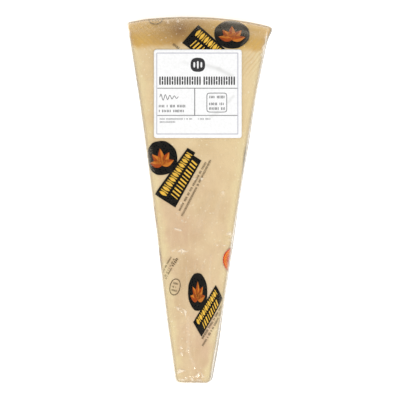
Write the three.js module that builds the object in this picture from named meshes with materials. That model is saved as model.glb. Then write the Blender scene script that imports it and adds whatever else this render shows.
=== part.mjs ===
import * as THREE from "three";
import { mergeVertices } from "three/addons/utils/BufferGeometryUtils.js";

// A wedge of hard aged cheese, shrink-wrapped in clear film, with a paper label on its upper face.
// It lies flat. X runs across it, Y from the narrow end to the rind, Z up. Millimetres.

// Outline, seen from above
const packLength = 168.3;
const narrowWidth = 16.3;
const widthPerLength = 0.283;
const bulgeReach = 0.42;
const bulgeFromNarrowEnd = 36;
const bulgeSpread = 20;
const flareStart = 115;
const flareLength = 46;
const flareReach = 1.35;
const flarePower = 1.5;
const rindArcRadius = 171.7;
const rindArcCentreX = -3.1;
const narrowCornerRadius = 2;
const rindCornerRadius = 1.4;

// Section
const thickness = 27;
const topEdgeRadius = 3.5;
const bottomEdgeRadius = 2;
const heelSetback = 9;
const heelCurve = 1.8;
const heelBlendLength = 45;

// The welded seam of the film: round both ends and along the right side
const seamHeight = 11;
const seamReach = 0.7;
const seamThickness = 0.6;
const seamFoot = 1.4;
const rimReach = 0.45;
const rimStart = 36;
const rimFull = 12;
const foldSideReach = 0.1;

// Where the film bridges a corner of the rind end it leaves a pointed ear, drawn back from the rind
const leftEarReach = 0.5;
const rightEarReach = 1.4;
const earDrop = 0.55;
const earSpread = 5;
const earHeight = 3;

// Creases of the film
const fanDepth = 0.35;
const fanPitch = THREE.MathUtils.degToRad(15);
const fanReach = 17;
const fanLeadIn = 5;
const pleatDepth = 0.3;
const pleatPitch = 3.9;
const pleatReach = 6;
const sideWave = 0.3;
const sideWaveLength = 47;

// Label
const labelWidth = 39.8;
const labelLength = 40.1;
const labelThickness = 0.2;
const labelCornerRadius = 1.2;
const labelGap = 0.1;
const labelMargin = 1;
const labelCentreFromNarrowEnd = 132;
const labelSkew = THREE.MathUtils.degToRad(0.8);

// Grid of the wrapped wedge
const columns = 20;
const rows = 52;
const roundSteps = 3;
const solverPasses = 6;

const { lerp, clamp, smoothstep } = THREE.MathUtils;

// Half of the outline's width at this y, film seam included
function halfWidthAt(y) {
  const fromNarrowEnd = y + packLength / 2;
  const flared = Math.max(0, (fromNarrowEnd - flareStart) / flareLength);
  const bulge = bulgeReach * Math.exp(-(((fromNarrowEnd - bulgeFromNarrowEnd) / bulgeSpread) ** 2));
  return (narrowWidth + widthPerLength * fromNarrowEnd) / 2 + bulge + flareReach * flared ** flarePower;
}

// How far the arc of the rind lies behind the farthest point of the pack at this x
function rindArcDrop(x) {
  const aside = x - rindArcCentreX;
  return rindArcRadius - Math.sqrt(rindArcRadius ** 2 - aside ** 2);
}

// The rind face stands upright up to the seam, and curves back above it
function heelSetbackAt(z) {
  const climb = clamp((z - seamHeight) / (thickness - seamHeight), 0, 1);
  return heelSetback * climb ** heelCurve;
}

// Grid line i of count between two edges: the outer ones are spaced as the edge rounds off
function gridLine(i, count, low, high, band) {
  const turn = Math.PI / 2 / roundSteps;
  if (i < roundSteps) return low + band * (1 - Math.cos(i * turn));
  if (i > count - roundSteps) return high - band * (1 - Math.cos((count - i) * turn));
  return lerp(low + band, high - band, (i - roundSteps) / (count - 2 * roundSteps));
}

// How far a rounded edge drops, this far in from the outline
function edgeDrop(inward, radius) {
  const left = Math.max(0, radius - inward);
  return radius - Math.sqrt(radius ** 2 - left ** 2);
}

// Heights of the grid lines on the upright walls, close together at the seam
function wallHeights() {
  const half = seamThickness / 2;
  const low = bottomEdgeRadius;
  const high = thickness - topEdgeRadius;
  const seam = [seamHeight - seamFoot, seamHeight - half, seamHeight + half, seamHeight + seamFoot];
  const below = lerp(low, seam[0], 0.5);
  const above = [1, 2, 3].map((k) => lerp(seam[3], high, k / 4));
  return [low, below, ...seam, ...above, high];
}

// Turns a square corner of the outline into a round one, carrying the grid inside it along.
// Returns the direction from the corner's centre, or null away from the corner.
function roundCorner(point, cornerX, cornerY, radius) {
  const centre = new THREE.Vector2(cornerX, cornerY);
  centre.x -= Math.sign(cornerX) * radius;
  centre.y -= Math.sign(cornerY) * radius;
  const spoke = new THREE.Vector2(point.x, point.y).sub(centre);
  if (spoke.x * cornerX <= 0 || spoke.y * cornerY <= 0) return null;
  const shell = Math.max(Math.abs(spoke.x), Math.abs(spoke.y)) / spoke.length();
  point.x = centre.x + spoke.x * shell;
  point.y = centre.y + spoke.y * shell;
  return spoke.normalize();
}

// Corner of the outline at the rind end, on the side with this sign
function rindCorner(side) {
  let y = packLength / 2;
  for (let pass = 0; pass < solverPasses; pass++) y = packLength / 2 - rindArcDrop(side * halfWidthAt(y));
  return new THREE.Vector2(side * halfWidthAt(y), y);
}

// 0 under the label, which holds the film flat, and 1 away from it
function clearOfLabel(x, y) {
  const aside = Math.abs(x) - labelWidth / 2;
  const beyond = Math.abs(y - labelCentreFromNarrowEnd + packLength / 2) - labelLength / 2;
  return smoothstep(Math.max(aside, beyond), labelMargin, labelMargin * 3);
}

// Stretch creases that fan out over the upper face from each corner of the rind end
function fanRelief(x, y) {
  const side = Math.sign(x) || 1;
  const corner = rindCorner(side);
  const across = (corner.x - x) * side;
  const along = corner.y - y;
  const distance = Math.hypot(across, along);
  const bearing = Math.atan2(along, across);
  const strength = smoothstep(distance, 0, fanLeadIn) * Math.exp(-((distance / fanReach) ** 2));
  return fanDepth * strength * clearOfLabel(x, y) * Math.cos((2 * Math.PI * bearing) / fanPitch);
}

// Small pleats where the film is gathered over the narrow end
function pleatRelief(x, y) {
  const fromEnd = (y + packLength / 2) / pleatReach;
  return pleatDepth * Math.exp(-(fromEnd ** 2)) * Math.cos((2 * Math.PI * x) / pleatPitch);
}

// The film's seam stands proud of both ends and of the right side, where it widens near the narrow end
function addSeam(point, outward) {
  const offSeam = Math.abs(point.z - seamHeight);
  const ridge = 1 - smoothstep(offSeam, seamThickness / 2, seamFoot);
  const rim = rimReach * (1 - smoothstep(point.y + packLength / 2, rimFull, rimStart));
  point.x += Math.max(0, outward.x) * (seamReach + rim) * ridge;
  point.y += outward.y * seamReach * ridge;
}

// The long sides are pulled in a little between the edges, more in some places than in others
function addSideWave(point, outward) {
  const up = (point.z - bottomEdgeRadius) / (thickness - topEdgeRadius - bottomEdgeRadius);
  const arch = 4 * up * (1 - up);
  const swing = (1 + Math.sin((2 * Math.PI * point.y) / sideWaveLength + Math.sign(outward.x))) / 2;
  point.x -= outward.x * Math.abs(outward.x) * sideWave * arch * swing;
}

function addEar(point) {
  const side = Math.sign(point.x);
  const corner = rindCorner(side);
  const fromCorner = Math.hypot(point.x - corner.x, point.y - corner.y) / earSpread;
  const offSeam = (point.z - seamHeight) / earHeight;
  const lift = Math.exp(-(fromCorner ** 2) - offSeam ** 2);
  const reach = side > 0 ? rightEarReach : leftEarReach;
  point.x += side * reach * lift;
  point.y -= earDrop * lift;
}

// Place of a grid point of the box whose faces become the pack's faces, walls and ends
function packPoint(column, row, layer, heights) {
  const layers = heights.length - 1;
  const onTop = layer === layers;
  const onBottom = layer === 0;
  const onSide = (column === columns) - (column === 0);
  const onEnd = (row === rows) - (row === 0);
  const band = onBottom ? bottomEdgeRadius : topEdgeRadius;
  const squareEnd = packLength / 2 - seamReach;
  const squareY = gridLine(row, rows, -squareEnd, squareEnd, band);
  const bend = smoothstep(squareY, squareEnd - heelBlendLength, squareEnd - topEdgeRadius);

  // the width follows from where the bent rind end puts the point, so it's found in a few passes
  const point = new THREE.Vector3();
  let y = squareY;
  let inward = 0;
  for (let pass = 0; pass < solverPasses; pass++) {
    const left = -halfWidthAt(y) + foldSideReach;
    const right = halfWidthAt(y) - seamReach;
    point.x = gridLine(column, columns, left, right, band);
    inward = Math.min(point.x - left, right - point.x, squareEnd - Math.abs(squareY));
    point.z = heights[layer];
    if (onTop) point.z = thickness - edgeDrop(inward, topEdgeRadius);
    if (onBottom) point.z = edgeDrop(inward, bottomEdgeRadius);
    y = squareY - bend * (rindArcDrop(point.x) + heelSetbackAt(point.z));
  }

  point.y = squareY;
  const cornerRadius = squareY > 0 ? rindCornerRadius : narrowCornerRadius;
  const cornerX = point.x > 0 ? halfWidthAt(y) - seamReach : -halfWidthAt(y) + foldSideReach;
  const cornerOutward = roundCorner(point, cornerX, Math.sign(squareY) * squareEnd, cornerRadius);
  point.y -= bend * (rindArcDrop(point.x) + heelSetbackAt(point.z));

  if (onTop) point.z += fanRelief(point.x, point.y) + pleatRelief(point.x, point.y);
  if (!onTop && !onBottom) {
    const outward = cornerOutward ?? new THREE.Vector2(onSide, onEnd);
    addSeam(point, outward);
    addSideWave(point, outward);
    if (squareY > 0) addEar(point);
  }
  return point;
}

function wrappedWedgeGeometry() {
  const heights = wallHeights();
  const layers = heights.length - 1;
  const box = new THREE.BoxGeometry(columns, rows, layers, columns, rows, layers);
  box.translate(columns / 2, rows / 2, layers / 2);
  box.deleteAttribute("normal");
  box.deleteAttribute("uv");
  const geometry = mergeVertices(box);
  const vertices = geometry.attributes.position;
  for (let k = 0; k < vertices.count; k++) {
    const [column, row, layer] = [vertices.getX(k), vertices.getY(k), vertices.getZ(k)].map(Math.round);
    const { x, y, z } = packPoint(column, row, layer, heights);
    vertices.setXYZ(k, x, y, z);
  }
  return geometry;
}

function wrappedWedge() {
  const material = new THREE.MeshStandardMaterial({ color: 0xe0c8a2, roughness: 0.25, metalness: 0 });
  const mesh = new THREE.Mesh(wrappedWedgeGeometry(), material);
  mesh.name = "wrapped_wedge";
  return mesh;
}

function roundedRectangle(width, length, radius) {
  const shape = new THREE.Shape();
  const x = width / 2 - radius;
  const y = length / 2 - radius;
  shape.absarc(x, y, radius, 0, Math.PI / 2);
  shape.absarc(-x, y, radius, Math.PI / 2, Math.PI);
  shape.absarc(-x, -y, radius, Math.PI, 1.5 * Math.PI);
  shape.absarc(x, -y, radius, 1.5 * Math.PI, 2 * Math.PI);
  return shape;
}

function label() {
  const outline = roundedRectangle(labelWidth, labelLength, labelCornerRadius);
  const geometry = new THREE.ExtrudeGeometry(outline, {
    depth: labelThickness,
    bevelEnabled: false,
    curveSegments: 6,
  });
  const material = new THREE.MeshStandardMaterial({ color: 0xfbfafb, roughness: 0.4, metalness: 0 });
  const mesh = new THREE.Mesh(geometry, material);
  mesh.name = "label";
  mesh.position.set(0, labelCentreFromNarrowEnd - packLength / 2, thickness + labelGap);
  mesh.rotation.z = labelSkew;
  return mesh;
}

// The origin is the middle of the pack's box, on the surface that it lies on
const cheesePack = new THREE.Group();
cheesePack.add(wrappedWedge(), label());
const middle = new THREE.Box3().setFromObject(cheesePack).getCenter(new THREE.Vector3());
cheesePack.children.forEach((piece) => piece.position.sub(new THREE.Vector3(middle.x, middle.y, 0)));

export default cheesePack;
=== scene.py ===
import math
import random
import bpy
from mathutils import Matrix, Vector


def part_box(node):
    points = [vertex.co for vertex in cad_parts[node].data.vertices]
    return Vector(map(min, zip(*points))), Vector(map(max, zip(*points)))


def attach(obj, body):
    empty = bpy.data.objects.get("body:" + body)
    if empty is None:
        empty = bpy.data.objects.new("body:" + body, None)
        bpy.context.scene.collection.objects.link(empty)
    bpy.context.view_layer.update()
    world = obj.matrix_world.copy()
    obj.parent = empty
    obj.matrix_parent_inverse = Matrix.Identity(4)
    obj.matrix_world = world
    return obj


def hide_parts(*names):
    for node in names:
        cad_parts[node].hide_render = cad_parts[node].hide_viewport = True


bl_info = {
    "name": "Film-wrapped cheese wedge",
    "version": (1, 0, 0),
    "blender": (4, 5, 0),
    "location": "3D Viewport > Sidebar > Cheese pack",
    "description": "Makes a wedge of hard cheese in printed shrink film, with a paper label",
    "category": "Add Mesh",
}

import bpy
import numpy as np
from mathutils import Vector, noise
from mathutils.bvhtree import BVHTree

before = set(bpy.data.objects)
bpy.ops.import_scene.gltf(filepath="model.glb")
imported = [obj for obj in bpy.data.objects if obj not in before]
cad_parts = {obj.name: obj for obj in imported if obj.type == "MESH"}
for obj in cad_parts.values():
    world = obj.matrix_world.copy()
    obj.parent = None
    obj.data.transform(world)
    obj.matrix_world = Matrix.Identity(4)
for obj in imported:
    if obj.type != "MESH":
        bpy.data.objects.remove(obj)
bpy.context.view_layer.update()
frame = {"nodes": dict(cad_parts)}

# The shapes are worked out in millimetres, and Blender works in metres
MM = 0.001

# Place of the pack in the packed model
PACK_LOW, PACK_HIGH = (np.array(corner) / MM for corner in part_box("wrapped_wedge"))
LABEL_LOW, LABEL_HIGH = (np.array(corner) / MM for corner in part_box("label"))
LABEL_GAP = 0.1
PACK_LENGTH = PACK_HIGH[1] - PACK_LOW[1]
THICKNESS = LABEL_LOW[2] - LABEL_GAP
MIDLINE_X = (LABEL_LOW[0] + LABEL_HIGH[0]) / 2

# Outline, seen from above
NARROW_WIDTH = 16.3
WIDTH_PER_LENGTH = 0.283
BULGE_REACH = 0.42
BULGE_FROM_NARROW_END = 36
BULGE_SPREAD = 20
FLARE_START = 115
FLARE_LENGTH = 46
FLARE_REACH = 1.35
FLARE_POWER = 1.5
RIND_ARC_RADIUS = 171.7
RIND_ARC_CENTRE_X = -3.1
NARROW_CORNER_RADIUS = 2
RIND_CORNER_RADIUS = 1.4

# Section
TOP_EDGE_RADIUS = 3.5
BOTTOM_EDGE_RADIUS = 2
WALL_HEIGHT = THICKNESS - TOP_EDGE_RADIUS - BOTTOM_EDGE_RADIUS
HEEL_SETBACK = 9
HEEL_CURVE = 1.8
HEEL_BLEND_LENGTH = 45

# The welded seam of the film, and the ears that it leaves at the rind's corners
SEAM_HEIGHT = 11
SEAM_REACH = 0.7
SEAM_THICKNESS = 0.6
SEAM_FOOT = 1.4
RIM_REACH = 0.45
RIM_START = 36
RIM_FULL = 12
FOLD_SIDE_REACH = 0.1
LEFT_EAR_REACH = 0.5
RIGHT_EAR_REACH = 1.4
EAR_DROP = 0.55
EAR_SPREAD = 5
EAR_HEIGHT = 3
SIDE_WAVE = 0.3
SIDE_WAVE_LENGTH = 47
SOLVER_PASSES = 6

# Fineness of the meshes
ROUND_STEPS = 6
FILM_CELLS = (100, 330)
CHEESE_CELLS = (84, 240)

# The cheese is set in from the film by this much, and fills the side seam only near the rind
CHEESE_INSET = 0.4
SEAM_FILL_START = 60
SEAM_FILL_END = 125

# Surface of the cheese: long waves, grains and small pits
WAVE_HEIGHT = 0.1
WAVE_SINK = 0.04
WAVE_SIZES = (16, 9, 12)
GRAIN_HEIGHT = 0.05
GRAIN_SIZE = 1.9
PIT_DEPTH = 0.5
PIT_SIZE = 2.6
PIT_LEVEL = 0.42

# Colours of the cheese change from one of these places to the other, in y or x from the pack's middle
PINK_RANGE = (30, -30)
PALE_RANGE = (-20, 45)
RIGHT_PALE_RANGE = (0, 20)
RIND_DARK_X = -7
RIND_DARK_RANGE = (4, 20)
# The same in depth from the long edges and from the rind, with how far the border wanders
# the pale strips along the long edges are partly paler cheese and partly painted light of the rounded edges
# catching the lamps
EDGE_STRIP_RANGE = (7.0, 2.8)
EDGE_WANDER = 2.6
RIND_DEPTH_RANGE = (6.9, 3.5)
RIND_WANDER = 1.6
STAIN_CENTRE = (-8.5, 161.0)
STAIN_SPREAD = 3.4

# Creases of the film on the upper face: start and end (across, from the narrow end), width, height
# and how milky the film is there, which is partly the film's own whitening and partly painted glints
CREASES = (
    ((-3.0, 31.0), (-2.8, 16.0), 0.8, 0.2, 0.26),
    ((-2.8, 16.0), (0.3, 8.4), 0.8, 0.18, 0.26),
    ((6.2, 86.3), (0.9, 70.4), 1.6, 0.12, 0.13),
    ((11.6, 86.4), (7.2, 72.7), 1.6, 0.12, 0.13),
    ((-9.4, 70.8), (-6.8, 70.1), 0.42, 0.12, 0.8),
    ((-6.4, 74.5), (-6.1, 74.3), 0.5, 0.1, 0.6),
    ((-8.6, 77.7), (-8.2, 77.3), 0.6, 0.1, 0.35),
    ((14.0, 68.7), (15.4, 68.8), 0.5, 0.12, 0.6),
    ((15.2, 69.6), (16.0, 67.9), 0.45, 0.12, 0.7),
    ((15.9, 66.6), (16.0, 66.0), 0.5, 0.1, 0.6),
    ((11.9, 87.5), (12.2, 87.2), 0.6, 0.1, 0.6),
    ((-6.0, 17.2), (-6.0, 16.9), 0.55, 0.1, 0.8),
    ((-5.8, 14.5), (-5.6, 14.0), 0.5, 0.12, 0.9),
    ((-4.1, 53.5), (-3.6, 45.5), 0.4, 0.06, 0.2),
    ((-0.3, 54.4), (-0.2, 52.4), 0.4, 0.06, 0.2),
    ((3.2, 54.6), (3.2, 52.6), 0.4, 0.06, 0.2),
    ((6.9, 59.0), (6.3, 40.5), 0.4, 0.06, 0.2),
    ((-4.8, 2.6), (-3.2, 3.2), 0.4, 0.16, 0.8),
    ((-6.8, 2.8), (-5.4, 2.6), 0.4, 0.16, 0.7),
    ((1.6, 2.6), (3.4, 2.2), 0.4, 0.14, 0.6),
    ((29.3, 154.0), (29.6, 152.4), 0.5, 0.14, 0.9),
    ((28.6, 150.6), (28.9, 149.6), 0.4, 0.12, 0.7),
    ((-14.4, 165.6), (-14.4, 164.6), 0.4, 0.1, 0.7),
    ((-9.5, 166.2), (-9.6, 165.0), 0.4, 0.1, 0.8),
)
# Bundles of like creases: start and end of the first, step to the next, count, then as above
CREASE_BUNDLES = (
    ((-30.5, 162.0), (-18.0, 150.5), (1.4, 1.7), 5, 0.55, 0.1, 0.08),
    ((31.0, 155.0), (20.5, 142.0), (-1.6, 1.3), 5, 0.5, 0.1, 0.08),
)
# Small milky folds, partly whitened film and partly painted glints: three corners (across, from the narrow
# end), anticlockwise, and how milky
FOLDS = (
    ((-7.2, 7.5), (-7.5, 4.9), (-3.7, 6.7), 0.85),
    ((2.8, 6.5), (0.1, 4.1), (2.4, 3.7), 0.7),
    ((2.8, 6.5), (3.8, 3.9), (5.6, 3.0), 0.8),
    ((-1.9, 3.2), (-0.2, 3.0), (-0.5, 4.2), 0.7),
    ((-1.4, 2.6), (-0.8, 1.8), (0.5, 2.8), 0.7),
    ((-8.7, 35.5), (-7.6, 33.6), (-6.4, 35.2), 0.7),
    ((-7.6, 34.1), (-4.8, 32.0), (-5.8, 33.9), 0.5),
    ((-6.7, 35.4), (-4.8, 33.6), (-3.4, 33.6), 0.85),
    ((-5.0, 33.8), (-4.2, 30.8), (-3.4, 33.7), 0.85),
    ((-11.2, 61.0), (-10.3, 60.2), (-8.4, 61.8), 0.6),
    ((-8.5, 60.5), (-6.5, 60.0), (-6.2, 62.1), 0.75),
    ((-6.2, 61.9), (-6.5, 59.9), (-3.5, 60.4), 0.85),
    ((-6.9, 60.2), (-6.3, 59.2), (-5.1, 60.4), 0.6),
    ((8.2, 64.1), (9.9, 63.1), (10.6, 63.8), 0.9),
    ((11.5, 64.0), (13.1, 63.0), (13.9, 63.6), 0.9),
    ((-2.2, 93.8), (-1.0, 92.7), (0.3, 93.8), 0.7),
    ((1.4, 94.3), (2.1, 92.8), (3.8, 93.5), 0.85),
    ((3.8, 111.7), (6.2, 109.6), (8.6, 110.7), 0.4),
)
FOLD_HEIGHT = 0.09
PLEAT_DEPTH = 0.25
PLEAT_PITCH = 3.9
PLEAT_REACH = 6
PUCKER_DEPTH = 0.12
PUCKER_PITCH = 2.6
PUCKER_REACH = 4.5
PUCKER_WANDER = 5
PUCKER_WANDER_SIZES = (9, 9, 30)
FILM_RIPPLE = 0.07
FILM_RIPPLE_LENGTH = 5.5
DEEPEST_RELIEF = 0.1

# The film is dull at its welded seam; where it turns down to the sides the dullness is painted sheen, most
# on the right near the narrow end
SEAM_DULLNESS = 1.7
SHOULDER_SPREAD = 2.0
SHOULDER_GAIN = 1.3
SHOULDER_SHEEN = 0.8
RIGHT_SHOULDER_EXTRA = 0.2
RIGHT_EXTRA_START = 70
RIGHT_EXTRA_FULL = 20
# how much less painted grey shade the dull film gets where it faces the rind
RIND_PALENESS = 1.5

# Stretch creases at the left and the right rind corner: x, y, turn in degrees. They ridge the film, and are
# painted as shade lines on the cheese.
CORNER_LINES = ((-24.5, 74.5, 45), (24.5, 63.5, -50))
CORNER_LINE_SPACING = 1.6
CORNER_LINE_LENGTH = 9.0
CORNER_LINE_BREADTH = 5.0
LINE_WARP_SCALE = 0.16
LINE_WARP = 2.0
LINE_SHARPNESS = 3.0

# Print on the film. It lies just inside the film, the motifs nearer to it than their dark grounds.
# Places are in millimetres round the pack from the midline of the upper face, and from the narrow end.
GROUND_DEPTH = 0.16
MOTIF_DEPTH = 0.08
PRINT_SEED = 5
RAY_START = 8
# Badges: place, width, length, turn in degrees
BADGES = (
    ((15.1, 159.5), 16.4, 13.9, 0),
    ((-16.2, 102.7), 15.0, 15.8, 8),
    ((1.2, 42.3), 8.9, 17.5, 1),
    ((28.9, 103.5), 13.2, 15.8, -8),
    ((-43.0, 141.0), 13.0, 15.0, 30),
    ((58.0, 128.0), 13.0, 15.4, 40),
    ((-64.0, 96.0), 13.0, 15.4, 20),
    ((47.0, 62.0), 12.0, 15.4, 55),
)
# Pairs of bars: place, length, width at both ends, lean of the ends, turn in degrees
BARS = (
    ((6.1, 151.2), 25.6, 11.3, 8.4, 0, -39.2),
    ((-7.5, 94.3), 25.8, 11.2, 8.3, 0, 58.5),
    ((6.2, 33.9), 19.8, 6.6, 6.2, 0.57, 60.0),
    ((47.0, 92.0), 25.6, 9.6, 8.4, 0.1, 50.0),
    ((-46.0, 122.0), 25.6, 9.6, 8.4, 0, 62.0),
    ((68.0, 116.0), 25.6, 9.6, 8.4, 0.2, 50.0),
    ((-57.0, 82.0), 25.6, 9.6, 8.4, 0, 58.0),
    ((52.0, 48.0), 21.0, 7.4, 6.6, 0.3, 64.0),
)
# Rows of fine print: place, length, height, breadth of a stroke, turn in degrees
FINE_ROWS = (
    ((-9.3, 152.7), 5.4, 1.2, 0.26, -36),
    ((-1.8, 90.0), 24.8, 1.05, 0.24, 62),
    ((-0.2, 89.2), 28.0, 1.05, 0.24, 63.6),
    ((7.9, 28.6), 17.2, 1.0, 0.24, 59.5),
    ((8.2, 25.8), 18.0, 1.0, 0.24, 60.2),
    ((-12.9, 54.7), 8.1, 0.7, 0.2, 60),
    ((-11.9, 53.0), 8.9, 0.7, 0.2, 62),
    ((-9.1, 55.9), 4.7, 1.15, 0.42, 59),
    ((-12.1, 50.5), 5.7, 0.7, 0.2, 61),
    ((53.5, 88.5), 25.0, 1.05, 0.24, 50),
    ((-40.0, 119.0), 25.0, 1.05, 0.24, 62),
)
# Round seals: place and width. Thin outlined marks: place, width, length, turn in degrees
SEALS = (
    ((18.0, 57.0), 11.3),
    ((-21.9, 56.8), 10.2),
    ((-34.0, 76.0), 10.6),
)
OUTLINED_MARKS = (
    ((-9.1, 44.4), 4.5, 7.3, -12),
    ((-19.9, 167.2), 6.4, 6.4, 0),
)

# Label
LABEL_WIDTH = 39.8
LABEL_LENGTH = 40.1
LABEL_THICKNESS = 0.2
LABEL_CORNER_RADIUS = 1.2
LABEL_FROM_NARROW_END = 132
LABEL_SKEW = math.radians(0.8)
LABEL_CELLS = 72
LABEL_RIPPLE = 0.05
LABEL_INK_LIFT = 0.03
LABEL_PRINT_SEED = 11
# Soft strokes of shade on the paper: start and end from the label's centre, width, strength
PAPER_SHADES = (
    ((-6.8, 14.3), (-4.4, 13.6), 0.7, 0.45),
    ((3.6, 13.0), (9.6, 11.1), 0.8, 0.9),
    ((9.6, 11.1), (15.2, 8.2), 0.9, 0.95),
    ((16.0, -1.1), (13.8, -3.9), 0.6, 0.7),
    ((9.1, -8.6), (5.9, -10.4), 0.6, 0.6),
    ((-8.0, -9.7), (-2.9, -9.7), 0.5, 0.4),
)

# The camera looks straight down at the middle of the picture
CAMERA_HEIGHT = 1.011
CAMERA_LENS = 195.7
CAMERA_SENSOR = 36
CAMERA_TURN = math.radians(0.8)
CAMERA_ACROSS = 1.66
CAMERA_FROM_NARROW_END = 83.95

# Where the lamps hang, in metres from the pack's middle at floor level
KEY_LAMP_PLACE = (0.05, -0.42, 1.0)
FILL_LAMP_PLACES = ((0.85, 0.1, 0.75), (-0.85, 0.1, 0.75))
FLOOR_HALF_SIZE = 3000
FLOOR_CELLS = 12
FLOOR_THICKNESS = 10
FLOOR_DROP = 0.1


def srgb(red, green, blue):
    """A colour given by its 0 to 255 screen values, as the linear values that Blender uses."""
    shares = (value / 255 for value in (red, green, blue))
    return tuple(s / 12.92 if s <= 0.04045 else ((s + 0.055) / 1.055) ** 2.4 for s in shares)


# Form of the wrapped wedge


def smoothstep(value, low, high):
    t = np.clip((value - low) / (high - low), 0, 1)
    return t * t * (3 - 2 * t)


def half_width(y):
    """Half of the outline's width at this y, the film's seam included."""
    along = y + PACK_LENGTH / 2
    flared = np.maximum(0, (along - FLARE_START) / FLARE_LENGTH)
    bulge = BULGE_REACH * np.exp(-(((along - BULGE_FROM_NARROW_END) / BULGE_SPREAD) ** 2))
    return (NARROW_WIDTH + WIDTH_PER_LENGTH * along) / 2 + bulge + FLARE_REACH * flared**FLARE_POWER


def rind_arc_drop(x):
    """How far the arc of the rind lies behind the pack's farthest point at this x."""
    return RIND_ARC_RADIUS - np.sqrt(RIND_ARC_RADIUS**2 - (x - RIND_ARC_CENTRE_X) ** 2)


def heel_setback(z):
    """How far the rind face leans back at this height: it stands upright up to the seam."""
    climb = np.clip((z - SEAM_HEIGHT) / (THICKNESS - SEAM_HEIGHT), 0, 1)
    return HEEL_SETBACK * climb**HEEL_CURVE


def grid_line(i, count, low, high, band):
    """Grid line i of count between two edges: the outer ones are spaced as the edge rounds off."""
    turn = math.pi / 2 / ROUND_STEPS
    middle = (i - ROUND_STEPS) / (count - 2 * ROUND_STEPS)
    line = low + band + middle * (high - low - 2 * band)
    line = np.where(i < ROUND_STEPS, low + band * (1 - np.cos(i * turn)), line)
    return np.where(i > count - ROUND_STEPS, high - band * (1 - np.cos((count - i) * turn)), line)


def edge_drop(inward, radius):
    """How far a rounded edge drops, this far in from the outline."""
    left = np.clip(radius - inward, 0, radius)
    return radius - np.sqrt(radius**2 - left**2)


def box_lattice(cells):
    """Whole-number points on the faces of a box of this many cells each way, and quads facing out."""
    quads = []
    for axis in range(3):
        first, second = (axis + 1) % 3, (axis + 2) % 3
        a, b = np.meshgrid(np.arange(cells[first]), np.arange(cells[second]), indexing="ij")
        outward = ((0, 0), (1, 0), (1, 1), (0, 1))
        for level, corners in ((0, outward[::-1]), (cells[axis], outward)):
            quad = np.zeros((a.size, 4, 3), int)
            quad[:, :, axis] = level
            for k, (step_a, step_b) in enumerate(corners):
                quad[:, k, first] = a.ravel() + step_a
                quad[:, k, second] = b.ravel() + step_b
            quads.append(quad)
    corners = np.concatenate(quads)
    span = max(cells) + 1
    codes = (corners[..., 0] * span + corners[..., 1]) * span + corners[..., 2]
    unique, index = np.unique(codes, return_inverse=True)
    points = np.stack([unique // span**2, unique // span % span, unique % span], axis=1)
    return points, index.reshape(-1, 4)


def round_corners(x, y, corner_x, corner_y, radius, outward):
    """Makes square corners of an outline round, and gives the directions that face out there."""
    spoke_x = x - (corner_x - np.sign(corner_x) * radius)
    spoke_y = y - (corner_y - np.sign(corner_y) * radius)
    reach = np.maximum(np.hypot(spoke_x, spoke_y), 1e-9)
    shell = np.maximum(np.abs(spoke_x), np.abs(spoke_y)) / reach
    inside = (spoke_x * corner_x > 0) & (spoke_y * corner_y > 0)
    x = np.where(inside, x - spoke_x * (1 - shell), x)
    y = np.where(inside, y - spoke_y * (1 - shell), y)
    spokes = np.stack([spoke_x / reach, spoke_y / reach], axis=1)
    return x, y, np.where(inside[:, None], spokes, outward)


def rind_corner(side):
    """Corner of the outline at the rind end, on the side with this sign."""
    y = PACK_LENGTH / 2
    for _ in range(SOLVER_PASSES):
        y = PACK_LENGTH / 2 - rind_arc_drop(side * half_width(y))
    return side * half_width(y), y


def seam_ridge(z):
    """1 on the film's seam and 0 away from it."""
    return 1 - smoothstep(np.abs(z - SEAM_HEIGHT), SEAM_THICKNESS / 2, SEAM_FOOT)


def add_seam_and_ears(x, y, z, outward, on_wall, side_fill):
    """The seam stands proud of both ends and of the right side, with an ear at each rind corner.

    Along the right side it stands proud by this share of its reach, and widens near the narrow end.
    """
    ridge = on_wall * seam_ridge(z)
    reach = SEAM_REACH + RIM_REACH * (1 - smoothstep(y + PACK_LENGTH / 2, RIM_FULL, RIM_START))
    x = x + side_fill * np.maximum(0, outward[:, 0]) * reach * ridge
    y = y + outward[:, 1] * SEAM_REACH * ridge
    for side, reach in ((-1, LEFT_EAR_REACH), (1, RIGHT_EAR_REACH)):
        corner_x, corner_y = rind_corner(side)
        away = np.hypot(x - corner_x, y - corner_y) / EAR_SPREAD
        lift = on_wall * np.exp(-(away**2) - ((z - SEAM_HEIGHT) / EAR_HEIGHT) ** 2)
        x = x + side * reach * lift
        y = y - EAR_DROP * lift
    return x, y


def side_wave(y, z, outward):
    """How far the long sides are pulled in between the edges."""
    up = (z - BOTTOM_EDGE_RADIUS) / WALL_HEIGHT
    swing = (1 + np.sin(2 * math.pi * y / SIDE_WAVE_LENGTH + np.sign(outward[:, 0]))) / 2
    return outward[:, 0] * np.abs(outward[:, 0]) * SIDE_WAVE * 4 * up * (1 - up) * swing


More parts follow.
